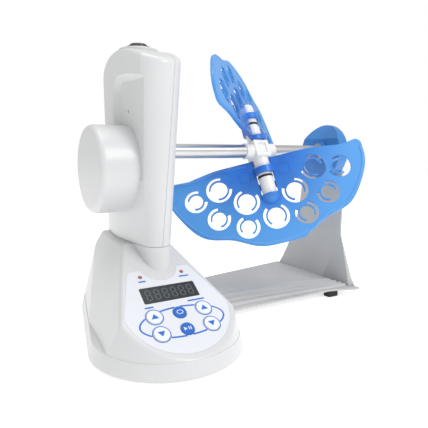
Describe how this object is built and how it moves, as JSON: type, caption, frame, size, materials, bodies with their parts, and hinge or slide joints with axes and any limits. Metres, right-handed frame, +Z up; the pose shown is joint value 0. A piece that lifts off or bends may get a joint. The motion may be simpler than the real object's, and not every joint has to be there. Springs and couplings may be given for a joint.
{
  "type": "laboratory tube rotator",
  "caption": "White laboratory tube rotator: tilted control panel, motor tower, horizontal rod with two blue fans of spring tube clips, and a grey sheet stand.",
  "frame": {"origin": "under the centre of the whole machine, on the table", "axes": "+X along the rod from the tower to the end holder, +Y to the back, +Z up"},
  "size_m": [0.3534, 0.255, 0.2928],
  "materials": {
    "white_shell": "satin moulded",
    "white_fittings": "smooth",
    "grey_plastic": "textured",
    "dark_plastic": "textured",
    "black_plastic": "glossy",
    "black_rubber": "matt",
    "blue_plastic": "smooth translucent",
    "panel_film": "fine texture",
    "key_white": "fine texture",
    "key_blue": "fine texture",
    "display_glass": "tinted",
    "light_lens": "translucent",
    "board": "solder mask",
    "bush_plastic": "smooth",
    "brass_gear": "machined",
    "motor_steel": "plated",
    "steel": "plated",
    "rod_steel": "polished",
    "stand_paint": "fine textured paint"
  },
  "bodies": {
    "root": {"base_cover": "grey_plastic", "base_feet": "black_rubber", "base_housing": "white_shell", "control_board": "board", "cover_screws": "steel", "display_module": "dark_plastic", "display_window": "display_glass", "drive_frame": "steel", "end_bush": "bush_plastic", "end_holder": "blue_plastic", "holder_screws": "steel", "motor": "motor_steel", "panel_film": "panel_film", "power_inlet": "dark_plastic", "stand": "stand_paint", "stand_feet": "black_rubber", "stand_screws": "steel", "status_lights": "light_lens", "top_collar": "white_shell", "tower_bush": "bush_plastic", "tower_shell_left": "white_shell", "tower_shell_right": "white_shell"},
    "rotor": {"rod": "rod_steel", "rod_gear": "bush_plastic", "hub_block": "white_fittings", "spoke_lower": "white_fittings", "spoke_upper": "white_fittings", "o_ring_lower": "black_rubber", "o_ring_upper": "black_rubber"},
    "lower_fan": {"fan_lower": "blue_plastic"},
    "upper_fan": {"fan_upper": "blue_plastic"},
    "pinion": {"motor_pinion": "brass_gear"},
    "button": {"top_button": "black_plastic"},
    "key_body_1": {"key_1": "key_white"},
    "key_body_2": {"key_2": "key_white"},
    "key_body_3": {"key_3": "key_white"},
    "key_body_4": {"key_4": "key_white"},
    "key_body_5": {"key_5": "key_blue"},
    "key_body_6": {"key_6": "key_blue"}
  },
  "joints": [
    {"name": "rotor_spin", "type": "hinge", "parent": "root", "child": "rotor", "pos_m": [0.05551, 0.02151, 0.183], "axis": [1, 0, 0], "continuous": true},
    {"name": "motor_spin", "type": "hinge", "parent": "root", "child": "pinion", "pos_m": [-0.10469, 0.02151, 0.165], "axis": [1, 0, 0], "continuous": true},
    {"name": "lower_fan_twist", "type": "hinge", "parent": "rotor", "child": "lower_fan", "pos_m": [0.05551, 0.02151, 0.183], "axis": [0, 0.454, 0.891], "range_deg": [-120, 10]},
    {"name": "upper_fan_twist", "type": "hinge", "parent": "rotor", "child": "upper_fan", "pos_m": [0.05551, 0.02151, 0.183], "axis": [0, -0.454, -0.891], "range_deg": [-115, 14]},
    {"name": "key_press_1", "type": "slide", "parent": "root", "child": "key_body_1", "axis": [0, 0.549, -0.8358], "range_m": [0, 0.0006], "stiffness_N_per_m": 300},
    {"name": "key_press_2", "type": "slide", "parent": "root", "child": "key_body_2", "axis": [0, 0.549, -0.8358], "range_m": [0, 0.0006], "stiffness_N_per_m": 300},
    {"name": "key_press_3", "type": "slide", "parent": "root", "child": "key_body_3", "axis": [0, 0.549, -0.8358], "range_m": [0, 0.0006], "stiffness_N_per_m": 300},
    {"name": "key_press_4", "type": "slide", "parent": "root", "child": "key_body_4", "axis": [0, 0.549, -0.8358], "range_m": [0, 0.0006], "stiffness_N_per_m": 300},
    {"name": "key_press_5", "type": "slide", "parent": "root", "child": "key_body_5", "axis": [0, 0.549, -0.8358], "range_m": [0, 0.0006], "stiffness_N_per_m": 300},
    {"name": "key_press_6", "type": "slide", "parent": "root", "child": "key_body_6", "axis": [0, 0.549, -0.8358], "range_m": [0, 0.0006], "stiffness_N_per_m": 300},
    {"name": "button_press", "type": "slide", "parent": "root", "child": "button", "axis": [0, 0, -1], "range_m": [0, 0.002], "stiffness_N_per_m": 400}
  ],
  "couplings": [
    {"joint": "motor_spin", "follows": "rotor_spin", "ratio": -3}
  ]
}
